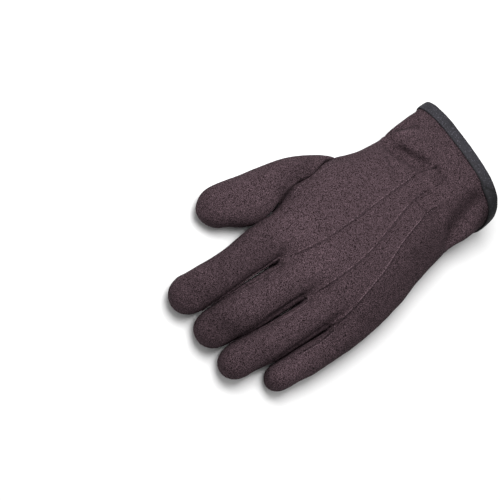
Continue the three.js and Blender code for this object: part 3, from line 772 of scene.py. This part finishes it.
def sewn(name, node, turned_in=False, puff=0.35, swell=5.0, rough=1.0, uneven=1.0):
    """One piece of cloth grown from its CAD solid. It stands out by puff between its seams, fully
    so from swell on, both in mm; rough and uneven are the shares of its nap and of its soft
    unevenness. Returns the object and the darts' lines."""
    cage = cloth_cage(node, turned_in)
    darts = dart_lines(ridge_points(cage)) if node == "back_panel" else []
    mesh = rounded(cage, name)
    mesh = refined(mesh)
    points = coordinates(mesh)
    outer, out_normal = side_of(mesh, OUTSIDE)
    inner, in_normal = side_of(mesh, INSIDE)
    cut, cut_normal = side_of(mesh, CUT)
    seam = outer & (inner | cut)
    shift = np.zeros_like(points)

    # The inside follows the folds from the far side of the wall.
    there = points[inner] - in_normal[inner] * WALL
    level = fold_depth(there) + uneven * soft_roll(there)
    shift[inner] = -in_normal[inner] * level[:, None]

    # The outside has the folds, and its seams, creases and darts away from the tape.
    here = points[outer]
    _, from_seam = nearest(tree_of(points[seam]), here)
    from_tape = tape_distance(here)
    crease, dim = crease_depth(here, out_normal[outer])
    dart, dart_dim = dart_relief(here, darts)
    skin = seam_relief(here, from_seam, puff, swell, rough) + crease + dart
    level = fold_depth(here) + uneven * soft_roll(here)
    level += skin * smooth((from_tape - TAPE_HOLD) / TAPE_EASE)
    shift[outer] = out_normal[outer] * level[:, None]

    loose = ~outer & ~inner
    if loose.any():
        shift[loose] = carried(points, shift, loose, outer, inner)

    # At a seam the rim reaches on, square to the outside, into the next piece.
    beyond = in_normal + cut_normal
    beyond -= out_normal * (beyond * out_normal).sum(axis=1, keepdims=True)
    shift[seam] += SEAM_LAP * unit(beyond)[seam]
    points += shift
    points[:, 2] = np.maximum(points[:, 2], FLOOR)
    move_points(mesh, points)
    # Painted shade in creases, grooves and soft bands and a painted shadow along the tape; painted
    # highlights on raised edges and dart ridges.
    darker = np.zeros(len(points))
    darker[outer] = dim + dart_dim + TAPE_SHADOW * bell(from_tape, TAPE_SHADOW_WIDTH)
    add_painted_shading(mesh, darker)
    mesh.shade_smooth()
    mesh.set_sharp_from_angle(angle=SHARP_ANGLE)
    return placed(name, mesh), darts


def add_painted_shading(mesh, dim):
    """Stores the painted light and shade: how light the colour is at each point, from how much
    darker it is painted.
    """
    painted_shading = np.where(dim > 0, 1 - DARKEN * dim, 1 - LIGHTEN * dim)
    painted_shading = np.clip(painted_shading, TONE_LEAST, TONE_MOST)
    mesh.attributes.new("painted_shading", "FLOAT", "POINT").data.foreach_set("value", painted_shading.astype(np.float32))


def dress(piece, node, materials):
    """Gives a finished piece its materials and its place in the frame."""
    for material in materials:
        piece.data.materials.append(material)
    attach(piece, "root")
    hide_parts(node)


def evenly(line, pitch):
    """Points that far apart along a broken line."""
    reach = np.concatenate([[0], np.cumsum(np.linalg.norm(np.diff(line, axis=0), axis=1))])
    stops = np.arange(pitch / 2, reach[-1], pitch)
    return np.stack([np.interp(stops, reach, side) for side in line.T], axis=1)


def drop_onto(skin, line):
    """Where each spot of a line, given from above, meets the cloth, and the cloth's normal."""
    drops = []
    for x, y in line:
        spot, normal, _, _ = skin.ray_cast(Vector((x, y, ABOVE_ALL)) * MM, Vector((0, 0, -1)))
        if spot is not None:
            drops.append((spot, normal))
    return drops


def stitched(name, cloth, rows, thread, colour):
    """Rows of thread stitches lying on a piece of cloth, each a short bowed length of thread. Rows
    are given from above; each stitch drops onto the cloth below it, and the nap hides some."""
    chance = random.Random(name)
    skin = BVHTree.FromObject(cloth, bpy.context.evaluated_depsgraph_get())
    bm = bmesh.new()
    for line, pitch, showing in rows:
        drops = drop_onto(skin, evenly(line[:, :2], pitch))
        for (spot, normal), (ahead, _) in zip(drops[:-1], drops[1:]):
            length = pitch * chance.uniform(STITCH_SHORT, STITCH_LONG)
            if chance.random() > showing:
                continue
            along = (ahead - spot).normalized()
            across = normal.cross(along).normalized()
            up = along.cross(across)
            middle = (spot + ahead) / 2 - up * thread * MM * STITCH_SUNK
            axes = Matrix(
                (along * length * MM, across * thread / 2 * MM, up * thread * STITCH_RISE * MM))
            place = Matrix.Translation(middle) @ axes.transposed().to_4x4()
            bmesh.ops.create_uvsphere(bm, u_segments=8, v_segments=6, radius=1, matrix=place)
    mesh = bpy.data.meshes.new(name)
    bm.to_mesh(mesh)
    bm.free()
    mesh.shade_smooth()
    mesh.materials.append(spun_thread("spun thread, " + name, colour))
    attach(placed(name, mesh), "root")


def lining():
    """The fleece inside, made once."""
    made = bpy.data.materials.get("napped inside")
    if made is None:
        colour = bpy.context.scene.glove_colours.lining
        made = brushed_jersey(
            "napped inside", colour, paint(colour, 0.45)[:3], speck_mm=0.9, nap_mm=0.5)
    return made


def jersey_sides(name, turn=0.0):
    """The jersey of one piece, for its outside, its inside and its cut edge."""
    colours = bpy.context.scene.glove_colours
    jersey = brushed_jersey(name, colours.cloth_light, colours.cloth_dark, turn=turn)
    return jersey, lining(), jersey


def round_cuff(points):
    """Each point's angle round the cuff, and how far up the tape reaches at that angle, in mm."""
    centre = points.mean(axis=0)
    turn = np.arctan2((points[:, 2] - centre[2]) * CUFF_FLATNESS, points[:, 0] - centre[0])
    bins = np.linspace(-math.pi, math.pi, RIM_PARTS + 1)
    which = np.clip(np.digitize(turn, bins) - 1, 0, RIM_PARTS - 1)
    rim = np.array([points[which == k, 1].max() for k in range(RIM_PARTS)])
    middle = (bins[1:] + bins[:-1]) / 2
    return turn, np.interp(turn, middle, rim, period=2 * math.pi)


def add_tape_uv(mesh, turn, across):
    """The tape's own coordinates: along it round the cuff, and across it from its upper edge. A
    face that passes the end of the round keeps all its corners on one side of it."""
    corners, counts = corners_of(mesh)
    first = np.concatenate([[0], np.cumsum(counts)[:-1]])
    run = turn[corners]
    lead = np.repeat(run[first], counts)
    run = run + 2 * math.pi * np.round((lead - run) / (2 * math.pi))
    uv = np.stack([run * CUFF_RADIUS, across[corners]], axis=1) * MM
    mesh.uv_layers.new(name="tape").data.foreach_set("uv", uv.ravel())


class GLOVE_OT_back(bpy.types.Operator):
    """Back of the glove with its three stitched darts and the backs of the fingers."""

    bl_idname = "glove.back"
    bl_label = "Back panel"

    def execute(self, context):
        sizes = context.scene.glove_sizes
        piece, darts = sewn("back_of_glove", "back_panel")
        dress(piece, "back_panel", jersey_sides("brushed jersey, back"))
        rows = [
            (line[len(dart["wrist"]):], sizes.stitch_pitch / MM, dart["showing"])
            for dart, line in zip(DARTS, darts)]
        rows += [(np.array(row["line"], float), row["pitch"], row["showing"]) for row in SEAM_ROWS]
        stitched(
            "stitches_of_back", piece, rows, sizes.thread / MM, context.scene.glove_colours.thread)
        return {"FINISHED"}


class GLOVE_OT_palm(bpy.types.Operator):
    """Palm with the undersides of the fingers."""

    bl_idname = "glove.palm"
    bl_label = "Palm panel"

    def execute(self, context):
        piece, _ = sewn("palm_of_glove", "palm_panel")
        dress(piece, "palm_panel", jersey_sides("brushed jersey, palm"))
        return {"FINISHED"}


class GLOVE_OT_thumb(bpy.types.Operator):
    """Thumb, set in with an arched seam."""

    bl_idname = "glove.thumb"
    bl_label = "Thumb"

    def execute(self, context):
        piece, _ = sewn("thumb_of_glove", "thumb", puff=0.7, uneven=0.4)
        dress(piece, "thumb", jersey_sides("brushed jersey, thumb", turn=0.35))
        return {"FINISHED"}


class GLOVE_OT_side_strips(bpy.types.Operator):
    """The three narrow strips between the fingers."""

    bl_idname = "glove.side_strips"
    bl_label = "Side strips"

    def execute(self, context):
        jersey = jersey_sides("brushed jersey, side strips")
        for node in ("fourchette_index_middle", "fourchette_middle_ring", "fourchette_ring_little"):
            piece, _ = sewn(
                node.replace("fourchette", "side_strip"), node, turned_in=True, puff=0.85,
                swell=2.5, rough=0.0, uneven=0.0)
            dress(piece, node, jersey)
        return {"FINISHED"}


class GLOVE_OT_binding(bpy.types.Operator):
    """Tape folded over the hem of the cuff."""

    bl_idname = "glove.binding"
    bl_label = "Cuff binding"

    def execute(self, context):
        cage = welded_cage("cuff_binding")
        join_quads(cage)
        mesh = rounded(cage, "hem_tape")
        points = coordinates(mesh)
        _, normal = side_of(mesh, OUTSIDE)
        turn, rim = round_cuff(points)
        outward = unit((points - points.mean(axis=0)) * (1, 0, 1))
        crease, dim = crease_depth(points, normal)
        ripple = 0.18 * rolling(points, 9, 3) + 0.1 * rolling(points, 3, 5)
        fold = fold_depth(points)
        points += normal * (crease + ripple)[:, None] + outward * fold[:, None]
        points[:, 2] = np.maximum(points[:, 2], FLOOR)
        move_points(mesh, points)
        add_tape_uv(mesh, turn, points[:, 1] - rim)
        # Painted shade of the creases and bands that reach the tape, such as its kink and outer end.
        add_painted_shading(mesh, dim)
        mesh.shade_smooth()
        tape = woven_tape("ribbed binding tape", context.scene.glove_colours.tape)
        dress(placed("hem_tape", mesh), "cuff_binding", [tape])
        return {"FINISHED"}


def pale_floor():
    """A wide matt white table top under the glove."""
    bm = bmesh.new()
    bmesh.ops.create_grid(bm, x_segments=1, y_segments=1, size=FLOOR_REACH)
    mesh = bpy.data.meshes.new("floor")
    bm.to_mesh(mesh)
    bm.free()
    floor = placed("floor", mesh)
    floor.location.z = -FLOOR_DROP
    material, tree = new_material("matt white floor")
    shader = add_node(
        tree, "ShaderNodeBsdfPrincipled",
        {"Base Color": paint(linear("#e2e2e2")), "Roughness": 1.0, "Specular IOR Level": 0.0})
    add_node(tree, "ShaderNodeOutputMaterial", {}, {"Surface": shader.outputs["BSDF"]})
    mesh.materials.append(material)


def soft_light(scene):
    """White light from all round, and one large lamp above the cuff's side."""
    world = bpy.data.worlds.new("studio")
    world.use_nodes = True
    sky = world.node_tree.nodes["Background"]
    sky.inputs["Color"].default_value = (1, 1, 1, 1)
    sky.inputs["Strength"].default_value = SKY_STRENGTH
    scene.world = world
    light = bpy.data.lights.new("overhead softbox", "AREA")
    light.size = LAMP_SIZE
    light.energy = LAMP_POWER
    lamp = placed("overhead softbox", light)
    lamp.location = LAMP_PLACE
    lamp.rotation_euler = (-LAMP_PLACE).to_track_quat("-Z", "Y").to_euler()


def photograph_camera(scene):
    """The camera at the photograph's angle."""
    camera = bpy.data.cameras.new("camera")
    camera.lens = LENS
    camera.sensor_width = SENSOR
    holder = placed("camera", camera)
    turn = Matrix((RIGHTWARD, UPWARD, BACKWARD)).transposed().to_4x4()
    holder.matrix_world = Matrix.Translation(AIM + BACKWARD * DISTANCE) @ turn
    scene.camera = holder


class GLOVE_OT_stage(bpy.types.Operator):
    """Floor, lights and the camera at the photograph's angle."""

    bl_idname = "glove.stage"
    bl_label = "Stage"

    def execute(self, context):
        pale_floor()
        soft_light(context.scene)
        photograph_camera(context.scene)
        context.scene.view_settings.view_transform = "Standard"
        return {"FINISHED"}


class GLOVE_PT_panel(bpy.types.Panel):
    """Lists the sizes, the colours and the pieces."""

    bl_idname = "GLOVE_PT_panel"
    bl_label = "Work glove"
    bl_space_type = "VIEW_3D"
    bl_region_type = "UI"
    bl_category = "Glove"

    def draw(self, context):
        layout = self.layout
        for group in (context.scene.glove_sizes, context.scene.glove_colours):
            box = layout.box()
            for key in group.__annotations__:
                box.prop(group, key)
        for operator in OPERATORS:
            layout.operator(operator.bl_idname)


OPERATORS = (
    GLOVE_OT_back, GLOVE_OT_palm, GLOVE_OT_thumb, GLOVE_OT_side_strips, GLOVE_OT_binding,
    GLOVE_OT_stage,
)
CLASSES = (GloveSizes, GloveColours, *OPERATORS, GLOVE_PT_panel)


def register():
    for item in CLASSES:
        bpy.utils.register_class(item)
    bpy.types.Scene.glove_sizes = PointerProperty(type=GloveSizes)
    bpy.types.Scene.glove_colours = PointerProperty(type=GloveColours)


def unregister():
    del bpy.types.Scene.glove_colours
    del bpy.types.Scene.glove_sizes
    for item in reversed(CLASSES):
        bpy.utils.unregister_class(item)


def main():
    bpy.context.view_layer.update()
    register()
    bpy.ops.glove.back()
    bpy.ops.glove.palm()
    bpy.ops.glove.thumb()
    bpy.ops.glove.side_strips()
    bpy.ops.glove.binding()
    bpy.ops.glove.stage()


if __name__ == "__main__":
    main()
